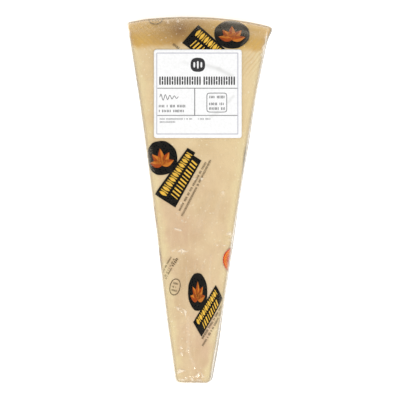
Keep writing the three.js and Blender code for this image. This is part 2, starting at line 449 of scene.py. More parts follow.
def wedge_skin(cells, heights, inset, is_film):
    """Points and quads of a closed skin with the wedge's form, set in by this much."""
    columns, rows, layers = (*cells, len(heights) - 1)
    lattice, quads = box_lattice((columns, rows, layers))
    column, row, layer = lattice.T
    on_top, on_bottom = layer == layers, layer == 0
    on_side = (column == columns) * 1.0 - (column == 0)
    on_end = (row == rows) * 1.0 - (row == 0)
    band = np.where(on_bottom, BOTTOM_EDGE_RADIUS, TOP_EDGE_RADIUS)
    square_end = PACK_LENGTH / 2 - SEAM_REACH - inset
    square_y = grid_line(row, rows, -square_end, square_end, band)
    bend = smoothstep(square_y, square_end - HEEL_BLEND_LENGTH, square_end - TOP_EDGE_RADIUS)
    y = square_y
    for _ in range(SOLVER_PASSES):
        left = -half_width(y) + FOLD_SIDE_REACH + inset
        right = half_width(y) - SEAM_REACH - inset
        x = grid_line(column, columns, left, right, band)
        inward = np.minimum(np.minimum(x - left, right - x), square_end - np.abs(square_y))
        z = np.where(on_top, THICKNESS - inset - edge_drop(inward, TOP_EDGE_RADIUS), heights[layer])
        z = np.where(on_bottom, inset + edge_drop(inward, BOTTOM_EDGE_RADIUS), z)
        y = square_y - bend * (rind_arc_drop(x) + heel_setback(z + inset * on_top))
    corner_radius = np.where(square_y > 0, RIND_CORNER_RADIUS, NARROW_CORNER_RADIUS)
    corner_x = np.where(x > 0, right, left)
    corner_y = np.sign(square_y) * square_end
    outward = np.stack([on_side, on_end], axis=1)
    x, y, outward = round_corners(x, square_y, corner_x, corner_y, corner_radius, outward)
    y = y - bend * (rind_arc_drop(x) + heel_setback(z + inset * on_top))
    on_wall = ~(on_top | on_bottom)
    # the cheese bulges into the side seam only near the rind
    side_fill = 1 if is_film else smoothstep(y + PACK_LENGTH / 2, SEAM_FILL_START, SEAM_FILL_END)
    x, y = add_seam_and_ears(x, y, z, outward, on_wall, side_fill)
    x = x - on_wall * side_wave(y, z, outward)
    return np.stack([x, y, z], axis=1), quads


def vertex_normals(points, quads):
    """Unit directions that face out at the points of a closed skin."""
    a, b, c, d = (points[quads[:, k]] for k in range(4))
    facing = np.cross(c - a, d - b)
    normals = np.zeros_like(points)
    for k in range(4):
        np.add.at(normals, quads[:, k], facing)
    return normals / np.maximum(np.linalg.norm(normals, axis=1), 1e-9)[:, None]


def noise_at(points, size, seed):
    """Soft noise from about -1 to 1, with lumps of this size (or sizes, one for each axis)."""
    scaled = points / np.broadcast_to(size, 3) + seed
    return np.array([noise.noise(Vector(p)) for p in scaled.tolist()])


def crease(x, along, start, end, width):
    """1 along a straight soft line, which dies out past both ends."""
    run_x, run_y = end[0] - start[0], end[1] - start[1]
    length = math.hypot(run_x, run_y)
    forward = ((x - start[0]) * run_x + (along - start[1]) * run_y) / length
    aside = ((x - start[0]) * run_y - (along - start[1]) * run_x) / length
    past = np.maximum(0, np.maximum(-forward, forward - length))
    return np.exp(-((aside / width) ** 2) - (past / width) ** 2)


def fold(x, along, corners):
    """1 inside a triangle with soft edges, whose corners run anticlockwise."""
    inside = np.full_like(x, np.inf)
    for (start_x, start_y), (end_x, end_y) in zip(corners, corners[1:] + corners[:1]):
        run_x, run_y = end_x - start_x, end_y - start_y
        depth = (run_x * (along - start_y) - run_y * (x - start_x)) / math.hypot(run_x, run_y)
        inside = np.minimum(inside, depth)
    return smoothstep(inside, -0.2, 0.3)


def upper_face_creases(x, along):
    """Height and milkiness of all the creases and folds on the upper face; the milkiness is partly painted
    glints.
    """
    lines = list(CREASES)
    for start, end, step, count, *profile in CREASE_BUNDLES:
        for k in range(count):
            moved = [(px + k * step[0], py + k * step[1]) for px, py in (start, end)]
            lines.append((*moved, *profile))
    height, glint_haze = np.zeros_like(x), np.zeros_like(x)
    for start, end, width, lift, share in lines:
        profile = crease(x, along, start, end, width)
        height += lift * profile
        glint_haze += share * profile
    for *corners, share in FOLDS:
        profile = fold(x, along, corners)
        height += FOLD_HEIGHT * profile
        glint_haze = np.maximum(glint_haze, share * profile)
    return height, glint_haze


def clear_of_label(x, along):
    """0 under the label, which holds the film flat, and 1 away from it."""
    aside = np.abs(x) - LABEL_WIDTH / 2
    beyond = np.abs(along - LABEL_FROM_NARROW_END) - LABEL_LENGTH / 2
    return smoothstep(np.maximum(aside, beyond), 0.5, 3)


def film_heights():
    """Heights of the film's grid lines on the walls, closest at the seam."""
    low, high = BOTTOM_EDGE_RADIUS, THICKNESS - TOP_EDGE_RADIUS
    below = np.linspace(low, SEAM_HEIGHT - SEAM_FOOT, 10, endpoint=False)
    seam = np.linspace(SEAM_HEIGHT - SEAM_FOOT, SEAM_HEIGHT + SEAM_FOOT, 12, endpoint=False)
    above = np.linspace(SEAM_HEIGHT + SEAM_FOOT, high, 17)
    return np.concatenate([below, seam, above])


def film_skin():
    """The film's points and quads, with how milky, dull and grey each point is, marks that hold painted
    glints, painted sheen and painted shade besides the film's own haze.
    """
    points, quads = wedge_skin(FILM_CELLS, film_heights(), 0, True)
    normals = vertex_normals(points, quads)
    x, y, z = points.T
    along = y + PACK_LENGTH / 2
    free = clear_of_label(x, along)
    level = np.abs(normals[:, 2])
    upper = free * np.clip(normals[:, 2] * 1.5, 0, 1)
    creases, glint_haze = upper_face_creases(x, along)
    pleats = np.exp(-((along / PLEAT_REACH) ** 2)) * np.cos(2 * math.pi * x / PLEAT_PITCH) * level
    run = np.where(np.abs(normals[:, 0]) > np.abs(normals[:, 1]), y, x)
    wander = PUCKER_WANDER * noise_at(points, PUCKER_WANDER_SIZES, 4.0)
    beside = np.exp(-(((z - SEAM_HEIGHT) / PUCKER_REACH) ** 2)) * (1 - seam_ridge(z))
    puckers = (1 - level) * beside * np.cos(2 * math.pi * run / PUCKER_PITCH + wander)
    ripple = noise_at(points, (FILM_RIPPLE_LENGTH, 2 * FILM_RIPPLE_LENGTH, FILM_RIPPLE_LENGTH), 11.0)
    relief = creases * upper + PLEAT_DEPTH * pleats + PUCKER_DEPTH * puckers
    relief = relief + FILM_RIPPLE * ripple * np.where(z > THICKNESS / 2, free, 1)
    lifted = points + normals * np.maximum(relief, -DEEPEST_RELIEF)[:, None]
    lifted[:, 2] = np.maximum(lifted[:, 2], 0)
    # painted sheen: a milky band where the film turns down to the sides, in place of the glare of film seen
    # at a slant
    sideways = np.clip(SHOULDER_GAIN * np.maximum(np.abs(normals[:, 0]), -normals[:, 1]), 0, 1)
    shoulder_sheen = sideways * np.exp(-(((z - THICKNESS + TOP_EDGE_RADIUS) / SHOULDER_SPREAD) ** 2))
    extra = RIGHT_SHOULDER_EXTRA * (x > 0) * smoothstep(-along, -RIGHT_EXTRA_START, -RIGHT_EXTRA_FULL)
    dull = np.clip(SEAM_DULLNESS * seam_ridge(z) + (SHOULDER_SHEEN + extra) * shoulder_sheen, 0, 1)
    # painted shade: the dull film is tinted grey, but stays pale where it faces the rind
    marks = {
        "milky": np.clip(glint_haze * upper, 0, 1),
        "dull": dull,
        "grey": dull * (1 - np.clip(RIND_PALENESS * normals[:, 1], 0, 1)),
    }
    return lifted, quads, marks


def cheese_skin():
    """The cheese's points and quads, with each point's depth from the rind and from the long edges."""
    low, high = CHEESE_INSET + BOTTOM_EDGE_RADIUS, THICKNESS - TOP_EDGE_RADIUS - CHEESE_INSET
    points, quads = wedge_skin(CHEESE_CELLS, np.linspace(low, high, 35), CHEESE_INSET, False)
    normals = vertex_normals(points, quads)
    waves = WAVE_HEIGHT * noise_at(points, WAVE_SIZES, 1.0) - WAVE_SINK
    grains = GRAIN_HEIGHT * noise_at(points, GRAIN_SIZE, 7.0)
    pits = np.clip(noise_at(points, PIT_SIZE, 21.0) - PIT_LEVEL, 0, 1)
    points = points + normals * (waves + grains - PIT_DEPTH * pits)[:, None]
    x, y, z = points.T
    rind_y = PACK_LENGTH / 2 - SEAM_REACH - rind_arc_drop(x) - heel_setback(z + CHEESE_INSET)
    stain = np.hypot(x - STAIN_CENTRE[0], y + PACK_LENGTH / 2 - STAIN_CENTRE[1]) / STAIN_SPREAD
    marks = {
        "rind_depth": rind_y - y,
        "edge_depth": half_width(y) - np.abs(x),
        "stain": np.exp(-(stain**2)),
    }
    return points, quads, marks


# Flat shapes of the print, as points and faces


def loop_of(count, radius_at):
    """Points round the origin, with the radius that the function gives for each angle."""
    angles = np.arange(count) * 2 * math.pi / count
    radii = radius_at(angles)
    return np.stack([radii * np.cos(angles), radii * np.sin(angles)], axis=1)


def oval(width, length, corners=2.0, count=48):
    """A closed outline between an ellipse (corners 2) and a rectangle (corners large)."""
    angles = np.arange(count) * 2 * math.pi / count
    cosine, sine = np.cos(angles), np.sin(angles)
    x = np.sign(cosine) * np.abs(cosine) ** (2 / corners) * width / 2
    y = np.sign(sine) * np.abs(sine) ** (2 / corners) * length / 2
    return np.stack([x, y], axis=1)


def polygon(width, length, sides, roundness, count=96):
    """A closed outline with this many softly rounded corners."""

    def radius(angles):
        step = 2 * math.pi / sides
        off = np.abs((angles % step) - step / 2)
        sharp = math.cos(step / 2) / np.cos(step / 2 - off)
        return roundness + (1 - roundness) * sharp

    return loop_of(count, radius) * (width / 2, length / 2)


def half_leaf(length, width, side, count=16):
    """Half of a pointed leaf that grows from the origin along +Y, on the side with this sign."""
    t = np.linspace(0, 1, count)
    edge = np.stack([side * width / 2 * np.sin(math.pi * t**0.8), length * t], axis=1)
    rib = np.stack([np.zeros(count - 2), length * t[-2:0:-1]], axis=1)
    outline = np.concatenate([edge, rib])
    return outline if side > 0 else outline[::-1]


def fill(outline, rings=1):
    """A filled shape: rings of points from the outline in to its middle."""
    centre = outline.mean(axis=0)
    count = len(outline)
    shares = np.linspace(1, 0, rings + 1)[:-1]
    points = np.concatenate([centre + (outline - centre) * share for share in shares] + [centre[None]])
    faces = []
    for ring in range(rings - 1):
        for k in range(count):
            after = (k + 1) % count
            start, inner = ring * count, (ring + 1) * count
            faces.append((start + k, start + after, inner + after, inner + k))
    start = (rings - 1) * count
    faces += [(start + k, start + (k + 1) % count, rings * count) for k in range(count)]
    return points, faces


def band(outline, width, closed=True):
    """A line of this width that follows an outline or an open path."""
    if closed:
        ahead, behind = np.roll(outline, -1, axis=0), np.roll(outline, 1, axis=0)
    else:
        ahead = np.concatenate([outline[1:], outline[-1:]])
        behind = np.concatenate([outline[:1], outline[:-1]])
    run = ahead - behind
    run = run / np.maximum(np.linalg.norm(run, axis=1), 1e-9)[:, None]
    side = np.stack([run[:, 1], -run[:, 0]], axis=1) * width / 2
    count = len(outline)
    points = np.concatenate([outline + side, outline - side])
    last = count if closed else count - 1
    faces = [(k, (k + 1) % count, count + (k + 1) % count, count + k) for k in range(last)]
    return points, faces


def path(start, end, steps):
    """Points along a straight line."""
    t = np.linspace(0, 1, steps + 1)[:, None]
    return np.array(start) * (1 - t) + np.array(end) * t


def panel(left, right, low, high, columns, rows):
    """A rectangle of this many cells each way."""
    x, y = np.meshgrid(np.linspace(left, right, columns + 1), np.linspace(low, high, rows + 1))
    starts = [row * (columns + 1) + column for row in range(rows) for column in range(columns)]
    faces = [(k, k + 1, k + columns + 2, k + columns + 1) for k in starts]
    return np.stack([x.ravel(), y.ravel()], axis=1), faces


def placed(shape, centre=(0, 0), turn=0.0):
    """The shape turned by this many degrees and moved to its place."""
    points, faces = shape
    angle = math.radians(turn)
    x = points[:, 0] * math.cos(angle) - points[:, 1] * math.sin(angle) + centre[0]
    y = points[:, 0] * math.sin(angle) + points[:, 1] * math.cos(angle) + centre[1]
    return np.stack([x, y], axis=1), faces


def joined(shapes):
    """Several flat shapes as one."""
    points, faces, start = [], [], 0
    for shape_points, shape_faces in shapes:
        points.append(shape_points)
        faces += [tuple(start + k for k in face) for face in shape_faces]
        start += len(shape_points)
    return np.concatenate(points), faces


def strokes(length, height, draw, breadth):
    """A row of thin upright strokes with a wider gap now and then, centred on the origin."""
    shapes, x = [], -length / 2
    while x < length / 2:
        half = height * draw.uniform(0.8, 1) / 2
        shapes.append(panel(x, x + breadth, -half, half, 1, 2))
        x += breadth * (5 if draw.random() < 0.12 else draw.uniform(1.8, 2.5))
    return shapes


# Print on the film


def badge_shapes(width, length):
    """A dark ground with soft corners and a fan of leaves, each with a light and a dark half."""
    shapes = {"dark": [fill(polygon(width, length, 8, 0.7), 14)], "amber": [], "orange": []}
    middle_leaf, leaf_turn, leaf_breadth, fan_foot = 2, 37, 0.4, 0.42
    for k in range(2 * middle_leaf + 1):
        size = 0.98 - 0.1 * abs(k - middle_leaf)
        for side, ink in ((-1, "orange"), (1, "amber")):
            half, _ = placed((half_leaf(size, leaf_breadth, side), []), turn=(middle_leaf - k) * leaf_turn)
            half = (half - (0, fan_foot)) * (width / 2, length / 2)
            shapes[ink].append(fill(half, 5))
    return shapes


def spread(start, room, pitch):
    """Middles of the equal steps, about this long, that fill the room from the start."""
    count = round(room / pitch)
    return [start + (k + 0.5) * (room / count) for k in range(count)]


def bar_shapes(length, start_width, end_width, lean):
    """Two dark bars that narrow to one end: lozenges and strokes on one, slanted strokes on the other."""

    def narrowed(shape):
        """The shape, given across in shares of the width, at its real width and leaning."""
        points, faces = shape
        width = start_width + (end_width - start_width) * (points[:, 0] / length + 0.5)
        across = points[:, 1] * width
        return np.stack([points[:, 0] + lean * across, across], axis=1), faces

    left, right = -length / 2, length / 2
    notch = 0 if lean else 1.5
    dark = [panel(left, right, 0, 0.5, 60, 10), panel(left, right - notch, -0.5, 0, 56, 10)]
    yellow = []
    for x in spread(left + 1.7, length - 3, 2.5):
        yellow.append(placed(fill(oval(1.5, 0.36, 1.4, 20), 3), (x - 0.5, 0.23)))
        yellow.append(panel(x + 0.5, x + 0.92, 0.06, 0.4, 1, 6))
    stroke_slant, stroke_middle = 1.4, -0.23
    for k, x in enumerate(spread(left + 3.2, length - 6.5, 1.55)):
        half = 0.38 if k % 3 else 0.22
        points, faces = panel(x - half, x + half, -0.41, -0.06, 1, 6)
        points[:, 0] += stroke_slant * (points[:, 1] - stroke_middle)
        yellow.append((points, faces))
    return {"dark": [narrowed(s) for s in dark], "yellow": [narrowed(s) for s in yellow]}


def seal_shapes(width):
    """A round seal: an orange field with a toothed rim, a ring of ticks and an eight-sided heart."""
    radius = width / 2

    def toothed(angles):
        return radius * (0.94 + 0.03 * np.cos(28 * angles))

    heart, ring, field, ticks, tick_radius = width * 0.62, width * 0.7, width * 0.94, 26, radius * 0.79
    red = [band(loop_of(224, toothed), 0.4), fill(polygon(heart, heart, 8, 0.3), 6)]
    red.append(band(oval(ring, ring), 0.16))
    for k in range(ticks):
        angle = k * 360 / ticks
        turn = math.radians(angle)
        place = (tick_radius * math.cos(turn), tick_radius * math.sin(turn))
        red.append(placed(fill(oval(0.6, 0.22, 4, 12)), place, angle))
    return {"seal": [fill(oval(field, field), 10)], "red": red}


def film_print_shapes():
    """The film's print as flat shapes: lists of shapes by ink."""
    draw = random.Random(PRINT_SEED)
    inks = {"dark": [], "amber": [], "yellow": [], "orange": [], "seal": [], "red": [], "fine": []}

    def put(shapes_by_ink, centre, turn):
        for ink, shapes in shapes_by_ink.items():
            inks[ink] += [placed(shape, centre, turn) for shape in shapes]

    for centre, width, length, turn in BADGES:
        put(badge_shapes(width, length), centre, turn)
    for centre, length, start_width, end_width, lean, turn in BARS:
        put(bar_shapes(length, start_width, end_width, lean), centre, turn)
    for centre, width in SEALS:
        put(seal_shapes(width), centre, 0)
    for centre, length, height, breadth, turn in FINE_ROWS:
        put({"fine": strokes(length, height, draw, breadth)}, centre, turn)
    for centre, width, length, turn in OUTLINED_MARKS:
        rows = [band(oval(width, length, 2.2, 48), 0.32)]
        for k in (-1, 0, 1):
            row = strokes(width * 0.5, 0.9, draw, 0.2)
            rows += [placed(shape, (0, k * length * 0.22)) for shape in row]
        put({"fine": rows}, centre, turn)
    return inks


def wrap(across, along):
    """Points and outward directions on the pack, this far round it from the midline of its upper face."""
    side = np.where(across < 0, -1.0, 1.0)
    away = np.abs(across)
    y = along - PACK_LENGTH / 2
    flat = half_width(y) - np.where(side > 0, SEAM_REACH, FOLD_SIDE_REACH) - TOP_EDGE_RADIUS
    top_arc, bottom_arc = TOP_EDGE_RADIUS * math.pi / 2, BOTTOM_EDGE_RADIUS * math.pi / 2
    over = np.clip(away - flat, 0, top_arc)
    down = np.clip(away - flat - top_arc, 0, WALL_HEIGHT)
    under = np.clip(away - flat - top_arc - WALL_HEIGHT, 0, bottom_arc)
    back = np.maximum(away - flat - top_arc - WALL_HEIGHT - bottom_arc, 0)
    turn_top, turn_bottom = over / TOP_EDGE_RADIUS, under / BOTTOM_EDGE_RADIUS
    x = np.minimum(away, flat) + TOP_EDGE_RADIUS * np.sin(turn_top)
    x = x - BOTTOM_EDGE_RADIUS * (1 - np.cos(turn_bottom)) - back
    z = THICKNESS - TOP_EDGE_RADIUS * (1 - np.cos(turn_top)) - down
    z = z - BOTTOM_EDGE_RADIUS * np.sin(turn_bottom)
    turn = turn_top + turn_bottom
    outward = np.stack([side * np.sin(turn), np.zeros_like(turn), np.cos(turn)], axis=1)
    return np.stack([side * x, y, z], axis=1), outward


def drape(shape, skin, depth):
    """A flat shape laid on the inside of the film's skin, this deep under it, without what misses it."""
    flat_points, faces = shape
    points, outward = wrap(flat_points[:, 0], flat_points[:, 1])
    laid, kept = [], {}
    for k, (point, direction) in enumerate(zip(points.tolist(), outward.tolist())):
        towards = -Vector(direction)
        hit = skin.ray_cast(Vector(point) - towards * RAY_START, towards)[0]
        if hit is not None:
            kept[k] = len(laid)
            laid.append(hit + towards * depth)
    faces = [tuple(kept[k] for k in face) for face in faces if all(k in kept for k in face)]
    return np.array(laid), faces


# Meshes and materials


def make_piece(name, points, faces, marks=None, offset=(MIDLINE_X, 0, 0)):
    """A smooth mesh object from points in millimetres, with a value for each point under each mark."""
    mesh = bpy.data.meshes.new(name)
    mesh.from_pydata(((points + offset) * MM).tolist(), [], [tuple(map(int, face)) for face in faces])
    mesh.shade_smooth()
    for mark, values in (marks or {}).items():
        attribute = mesh.attributes.new(mark, "FLOAT", "POINT")
        attribute.data.foreach_set("value", values.astype(np.float32))
    mesh.validate()
    piece = bpy.data.objects.new(name, mesh)
    bpy.context.scene.collection.objects.link(piece)
    return piece


def finish_piece(piece, material, slot, *nodes):
    """Gives the piece its material and the nodes that it stands for; the slot is not used."""
    piece.data.materials.append(material)
    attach(piece, "root")
    if nodes:
        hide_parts(*nodes)


def add_node(tree, kind, inputs=None, **settings):
    """A shader node with its settings, and its inputs set to values or linked to sockets."""
    node = tree.nodes.new(kind)
    for name, value in settings.items():
        setattr(node, name, value)
    for name, value in (inputs or {}).items():
        if isinstance(value, bpy.types.NodeSocket):
            tree.links.new(value, node.inputs[name])
        else:
            node.inputs[name].default_value = value
    return node


def calc(tree, operation, first, second=0.0, third=0.0, clamp=False):
    """The result of a Math node."""
    inputs = {0: first, 1: second, 2: third}
    return add_node(tree, "ShaderNodeMath", inputs, operation=operation, use_clamp=clamp).outputs[0]


def mix_colours(tree, share, under, over):
    """The result of a colour Mix node. A colour is a socket or three values."""
    colours = [c if isinstance(c, bpy.types.NodeSocket) else (*c, 1.0) for c in (under, over)]
    inputs = {0: share, 6: colours[0], 7: colours[1]}
    return add_node(tree, "ShaderNodeMix", inputs, data_type="RGBA").outputs[2]


def in_metres(places):
    return tuple(place * MM for place in places)


def ramp(tree, value, low, high, start=0.0, end=1.0, shape="SMOOTHSTEP"):
    """The value carried from the range low..high to start..end."""
    inputs = {"Value": value, "From Min": low, "From Max": high, "To Min": start, "To Max": end}
    return add_node(tree, "ShaderNodeMapRange", inputs, interpolation_type=shape).outputs[0]


def point_mark(tree, name):
    return add_node(tree, "ShaderNodeAttribute", attribute_name=name).outputs["Fac"]


def new_group(name, inputs, output):
    """An empty shader node group with float and vector inputs and one float output."""
    group = bpy.data.node_groups.new(name, "ShaderNodeTree")
    for label, default in inputs.items():
        kind = "NodeSocketVector" if isinstance(default, tuple) else "NodeSocketFloat"
        group.interface.new_socket(label, in_out="INPUT", socket_type=kind).default_value = default
    group.interface.new_socket(output, in_out="OUTPUT", socket_type="NodeSocketFloat")
    return group, add_node(group, "NodeGroupInput").outputs


def scaled_place(group, size):
    """The place on the object in lumps of this many millimetres."""
    place = add_node(group, "ShaderNodeTexCoord").outputs["Object"]
    scale = calc(group, "DIVIDE", 1 / MM, size)
    inputs = {0: place, "Scale": scale}
    return add_node(group, "ShaderNodeVectorMath", inputs, operation="SCALE").outputs[0]


def mottle_group():
    """Cloudy patches: a mask that rises where soft noise goes from Low to High."""
    name = "Mottle"
    if name in bpy.data.node_groups:
        return bpy.data.node_groups[name]
    inputs = {"Size": 5.0, "Stretch": (1.0, 1.0, 1.0), "Detail": 2.0, "Seed": 0.0, "Low": 0.4, "High": 0.6}
    group, given = new_group(name, inputs, "Mask")
    place = scaled_place(group, given["Size"])
    vectors = {0: place, 1: given["Stretch"]}
    place = add_node(group, "ShaderNodeVectorMath", vectors, operation="MULTIPLY").outputs[0]
    inputs = {"Vector": place, "W": given["Seed"], "Scale": 1.0, "Detail": given["Detail"]}
    lumps = add_node(group, "ShaderNodeTexNoise", inputs, noise_dimensions="4D").outputs[0]
    mask = ramp(group, lumps, given["Low"], given["High"])
    add_node(group, "NodeGroupOutput", {"Mask": mask})
    return group


def crease_lines_group():
    """Thin near-parallel lines that fade out round a centre, as stretched film shows."""
    name = "Crease lines"
    if name in bpy.data.node_groups:
        return bpy.data.node_groups[name]
    inputs = {"Centre": (0.0, 0.0, 0.0), "Turn": 0.0, "Spacing": 1.0, "Length": 8.0, "Breadth": 4.0}
    group, given = new_group(name, inputs, "Mask")
    place = scaled_place(group, 1.0)
    vectors = {0: place, 1: given["Centre"]}
    place = add_node(group, "ShaderNodeVectorMath", vectors, operation="SUBTRACT").outputs[0]
    inputs = {"Vector": place, "Angle": given["Turn"]}
    place = add_node(group, "ShaderNodeVectorRotate", inputs, rotation_type="Z_AXIS").outputs[0]
    axes = add_node(group, "ShaderNodeSeparateXYZ", {0: place}).outputs
    inputs = {"Vector": place, "Scale": LINE_WARP_SCALE, "Detail": 1.0}
    warp = add_node(group, "ShaderNodeTexNoise", inputs).outputs[0]
    across = calc(group, "MULTIPLY_ADD", warp, LINE_WARP, axes["Y"])
    phase = calc(group, "MULTIPLY", calc(group, "DIVIDE", across, given["Spacing"]), 2 * math.pi)
    wave = calc(group, "MULTIPLY_ADD", calc(group, "COSINE", phase), 0.5, 0.5)
    fade = []
    for axis, reach in (("X", "Length"), ("Y", "Breadth")):
        share = calc(group, "DIVIDE", axes[axis], given[reach])
        fade.append(calc(group, "MULTIPLY", share, share))
    away = calc(group, "MULTIPLY", calc(group, "ADD", *fade), -1.0)
    lines = calc(group, "POWER", wave, LINE_SHARPNESS)
    mask = calc(group, "MULTIPLY", lines, calc(group, "EXPONENT", away))
    add_node(group, "NodeGroupOutput", {"Mask": mask})
    return group


def group_value(tree, group, **values):
    """The output of a node group with its own input values, given by their names in lower case."""
    node = add_node(tree, "ShaderNodeGroup", node_tree=group)
    for name, value in values.items():
        node.inputs[name.capitalize()].default_value = value
    return node.outputs[0]


def mottle(tree, size, low=0.4, high=0.6, detail=2.0, seed=0.0, stretch=(1.0, 1.0, 1.0)):
    values = {"size": size, "low": low, "high": high, "detail": detail, "seed": seed, "stretch": stretch}
    return group_value(tree, mottle_group(), **values)


def corner_lines(tree):
    """The stretch creases at both rind corners."""
    masks = []
    for x, y, turn in CORNER_LINES:
        values = {"centre": (x + MIDLINE_X, y, 0.0), "turn": math.radians(turn)}
        values.update(spacing=CORNER_LINE_SPACING, length=CORNER_LINE_LENGTH, breadth=CORNER_LINE_BREADTH)
        masks.append(group_value(tree, crease_lines_group(), **values))
    return calc(tree, "ADD", *masks)


def new_material(name, **values):
    """A material with a Principled shader whose named sockets hold these values."""
    material = bpy.data.materials.new(name)
    material.use_nodes = True
    tree = material.node_tree
    shader = tree.nodes["Principled BSDF"]
    for socket, value in values.items():
        shader.inputs[socket.replace("_", " ")].default_value = value
    return material, tree, shader.inputs


def add_bump(tree, inputs, height, distance):
    """Relief of this many millimetres from a height of 0 to 1."""
    bump = add_node(tree, "ShaderNodeBump", {"Height": height, "Distance": distance * MM})
    tree.links.new(bump.outputs[0], inputs["Normal"])


def cheese_material(colours):
    """Granular paste with cloudy patches, pale long edges that are partly painted highlight, painted shade
    lines under the film's corner creases, and an amber rind with a brown stain.
    """
    material, tree, inputs = new_material("hard cheese", Specular_IOR_Level=0.2)
    place = add_node(tree, "ShaderNodeTexCoord").outputs["Object"]
    axes = add_node(tree, "ShaderNodeSeparateXYZ", {0: place}).outputs
    clouds = mottle(tree, 13, 0.34, 0.68, 3, 1)
    paste = mix_colours(tree, clouds, colours.paste_light, colours.paste_dark)
    pink = ramp(tree, axes["Y"], *in_metres(PINK_RANGE), 0.15, 0.75)
    pink = calc(tree, "MULTIPLY", mottle(tree, 15, 0.36, 0.66, 2, 5), pink)
    paste = mix_colours(tree, pink, paste, colours.paste_pink)
    streaks = calc(tree, "MULTIPLY", mottle(tree, 1.3, 0.5, 0.68, 2, 8, (1.0, 0.14, 1.0)), 0.35)
    paste = mix_colours(tree, streaks, paste, colours.paste_light)
    near_rind = ramp(tree, axes["Y"], *in_metres(PALE_RANGE), 0, 0.5)
    to_the_right = ramp(tree, axes["X"], *in_metres(RIGHT_PALE_RANGE), 0, 0.25)
    paste = mix_colours(tree, calc(tree, "ADD", near_rind, to_the_right), paste, colours.paste_pale)

    # pale strips along the long edges: partly paler cheese, partly painted highlight of the rounded edges
    wander = mottle(tree, 6, 0.3, 0.7, 3, 3)
    near_edge = calc(tree, "MULTIPLY_ADD", wander, EDGE_WANDER, point_mark(tree, "edge_depth"))
    paste = mix_colours(tree, ramp(tree, near_edge, *EDGE_STRIP_RANGE), paste, colours.edge_paste_and_highlight)

    aside = calc(tree, "ABSOLUTE", calc(tree, "SUBTRACT", axes["X"], RIND_DARK_X * MM))
    aside = ramp(tree, aside, *in_metres(RIND_DARK_RANGE))
    rind = mix_colours(tree, aside, colours.rind_dark, colours.rind_light)
    patches = calc(tree, "MULTIPLY", mottle(tree, 6, 0.4, 0.66, 3, 6), 0.45)
    rind = mix_colours(tree, patches, rind, colours.rind_dark)
    stain = point_mark(tree, "stain")
    wide_stain = calc(tree, "MULTIPLY", calc(tree, "POWER", stain, 0.16), 0.6)
    rind = mix_colours(tree, wide_stain, rind, colours.rind_faded)
    rind = mix_colours(tree, calc(tree, "MULTIPLY", stain, 0.7), rind, colours.rind_stain)
    wander = mottle(tree, 9, 0.3, 0.7, 2, 12)
    depth = calc(tree, "MULTIPLY_ADD", wander, RIND_WANDER, point_mark(tree, "rind_depth"))
    surface = mix_colours(tree, ramp(tree, depth, *RIND_DEPTH_RANGE), paste, rind)

    specks = calc(tree, "MULTIPLY", mottle(tree, 1.1, 0.71, 0.78, 0, 9), 0.5)
    surface = mix_colours(tree, specks, surface, colours.crystals)
    # painted shade: the film's stretch creases darken the paste in thin lines
    surface = mix_colours(tree, calc(tree, "MULTIPLY", corner_lines(tree), 0.35), surface, colours.rind_dark)
    tree.links.new(surface, inputs["Base Color"])
    tree.links.new(ramp(tree, clouds, 0, 1, 0.5, 0.72), inputs["Roughness"])
    grain = calc(tree, "ADD", mottle(tree, 0.7, 0.3, 0.7, 2, 2), mottle(tree, 2.2, 0.35, 0.65, 3, 4))
    add_bump(tree, inputs, grain, 0.07)
    return material


def film_material(settings):
    """Clear glossy film: it mirrors more at a slant, and is milky where it is creased or welded.

    Alpha is the share that mirrors plus the share that is milky, and Metallic the mirrored part of it. The
    milky share holds painted glints on the creases and painted sheen where the film turns down at the sides,
    and the grey tint of the dull film is painted shade.
    """
    material, tree, inputs = new_material("shrink film")
    slant = add_node(tree, "ShaderNodeLayerWeight", {"Blend": 0.5}).outputs["Facing"]
    mirror = ramp(tree, calc(tree, "POWER", slant, 5.0), 0, 1, 0.014, 1.0, "LINEAR")
    clouds = mottle(tree, 8, 0.42, 0.72, 4, 31)
    haze = calc(tree, "MULTIPLY_ADD", clouds, settings.film_cloudiness, settings.film_haze)
    haze = calc(tree, "MULTIPLY_ADD", mottle(tree, 2.0, 0.6, 0.74, 2, 33, (1.0, 0.5, 1.0)), 0.012, haze)
    patches = ramp(tree, mottle(tree, 0.8, seed=37), 0, 1, 0.8, 1.0)
    # painted glints: the milky creases and folds, partly real whitening of the film
    haze = calc(tree, "MULTIPLY_ADD", point_mark(tree, "milky"), patches, haze)
    # painted sheen at the shoulders, added to the real haze of the welded seam
    haze = calc(tree, "MULTIPLY_ADD", point_mark(tree, "dull"), 0.95, haze)
    cover = calc(tree, "ADD", mirror, haze, clamp=True)
    tree.links.new(cover, inputs["Alpha"])
    tree.links.new(calc(tree, "DIVIDE", mirror, cover, clamp=True), inputs["Metallic"])
    # painted shade: the dull film is greyed, except where it faces the rind
    tint = mix_colours(tree, point_mark(tree, "grey"), settings.film_tint, settings.dull_shade_tint)
    tree.links.new(tint, inputs["Base Color"])
    tree.links.new(ramp(tree, clouds, 0, 1, 0.07, 0.16), inputs["Roughness"])
    height = calc(tree, "MULTIPLY_ADD", mottle(tree, 1.6, 0.3, 0.7, 2, 35), 0.5, corner_lines(tree))
    add_bump(tree, inputs, height, 0.035)
    material.surface_render_method = "BLENDED"
    return material


def ink_material(name, colour, gloss, roughness, unevenness):
    """Ink slightly uneven in depth of colour."""
    material, tree, inputs = new_material(name, Specular_IOR_Level=gloss)
    uneven = mottle(tree, 1.8, 0.35, 0.7, 3, 41)
    darker = tuple(channel * (1 - unevenness) for channel in colour)
    tree.links.new(mix_colours(tree, uneven, colour, darker), inputs["Base Color"])
    tree.links.new(ramp(tree, uneven, 0, 1, roughness, roughness + 0.15), inputs["Roughness"])
    add_bump(tree, inputs, mottle(tree, 0.5, 0.3, 0.7, 1, 43), 0.01)
    return material


